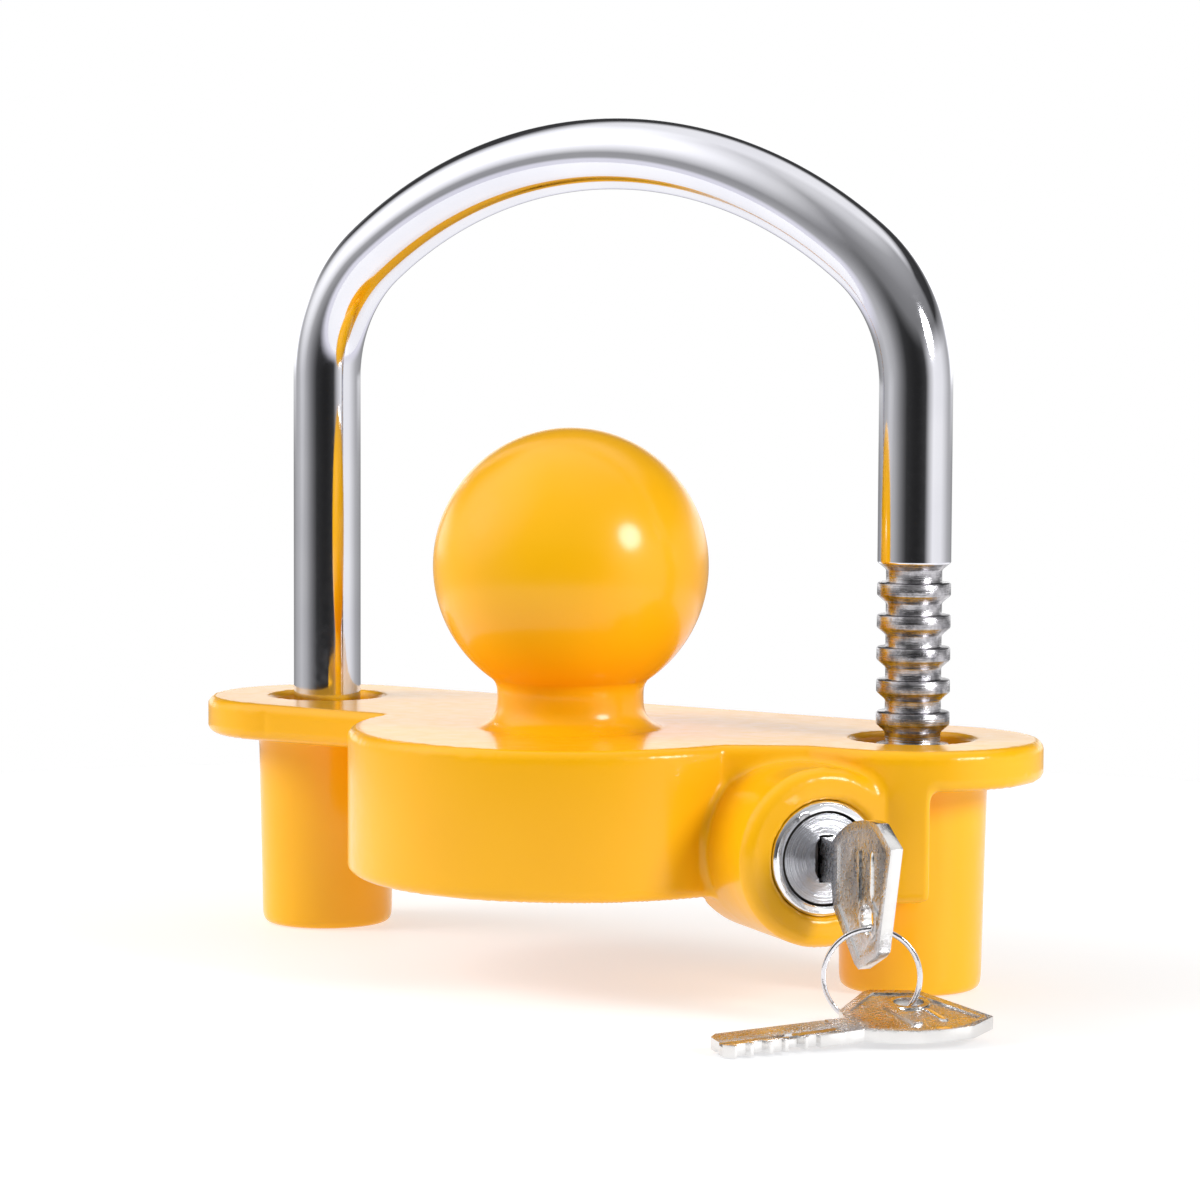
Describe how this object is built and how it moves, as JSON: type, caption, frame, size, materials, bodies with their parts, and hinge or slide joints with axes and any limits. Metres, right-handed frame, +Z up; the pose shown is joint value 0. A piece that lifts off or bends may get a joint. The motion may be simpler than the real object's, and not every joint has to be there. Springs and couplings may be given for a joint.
{
  "type": "trailer coupler lock",
  "caption": "Lock for a parked trailer's coupler: a ball fills the socket and a ratchet shackle closes over it, held by a key lock in the body.",
  "frame": {"origin": "centre of the ball", "axes": "+Z up along the ball's neck, +X across the shackle's legs towards the grooved leg, -Y the front that the lock's face leans to"},
  "size_m": [0.174, 0.0912, 0.1425],
  "materials": {
    "yellow_paint": "glossy golden-yellow enamel over a die casting",
    "chrome_bar": "bright chrome; the ratchet grooves are machined steel",
    "bezel_chrome": "bright chrome",
    "plug_nickel": "satin nickel",
    "plain_steel": "plain turned steel",
    "spring_steel": "drawn wire",
    "brass": "stamped brass",
    "key_nickel": "nickel-plated brass, stamped, with a grained panel",
    "ring_nickel": "bright nickel wire"
  },
  "bodies": {
    "body": {"body_casting": "yellow_paint", "lock_cylinder_housing": "bezel_chrome", "cylinder_retaining_pin": "plain_steel", "latch_cover": "yellow_paint", "latch_cover_screws": "plain_steel", "bolt_spring": "spring_steel"},
    "shackle": {"shackle": "chrome_bar"},
    "plug": {"lock_plug": "plug_nickel", "wafers": "brass", "wafer_springs": "spring_steel", "plug_retaining_clip": "spring_steel", "drive_cam": "plain_steel", "drive_pin": "plain_steel", "cam_screw": "plain_steel"},
    "bolt": {"lock_bolt": "plain_steel"},
    "key": {"key": "key_nickel"},
    "ring": {"key_ring": "ring_nickel"},
    "spare": {"spare_key": "key_nickel"}
  },
  "joints": [
    {"name": "shackle_slide", "type": "slide", "parent": "body", "child": "shackle", "axis": [0, 0, 1], "range_m": [-0.0263, 0.03]},
    {"name": "plug_turn", "type": "hinge", "parent": "body", "child": "plug", "pos_m": [0.05517, -0.01016, -0.0434], "axis": [-0.8192, 0.5736, 0], "range_deg": [0, 90]},
    {"name": "bolt_slide", "type": "slide", "parent": "body", "child": "bolt", "axis": [0.5736, 0.8192, 0], "range_m": [0, 0.0033], "deforming": ["bolt_spring"]},
    {"name": "key_slide", "type": "slide", "parent": "plug", "child": "key", "axis": [0.8192, -0.5736, 0], "range_m": [0, 0.022]},
    {"name": "ring_swing", "type": "hinge", "parent": "key", "child": "ring", "pos_m": [0.06868, -0.01962, -0.052], "axis": [0.8572, 0.515, 0], "range_deg": [-90, 80]},
    {"name": "spare_key_swing", "type": "hinge", "parent": "ring", "child": "spare", "pos_m": [0.07354, -0.0167, -0.06416], "axis": [0.551, 0.3311, 0.766], "range_deg": [-10, 40]}
  ],
  "couplings": [
    {"joint": "bolt_slide", "follows": "plug_turn", "m_per_rad": 0.0021008}
  ]
}
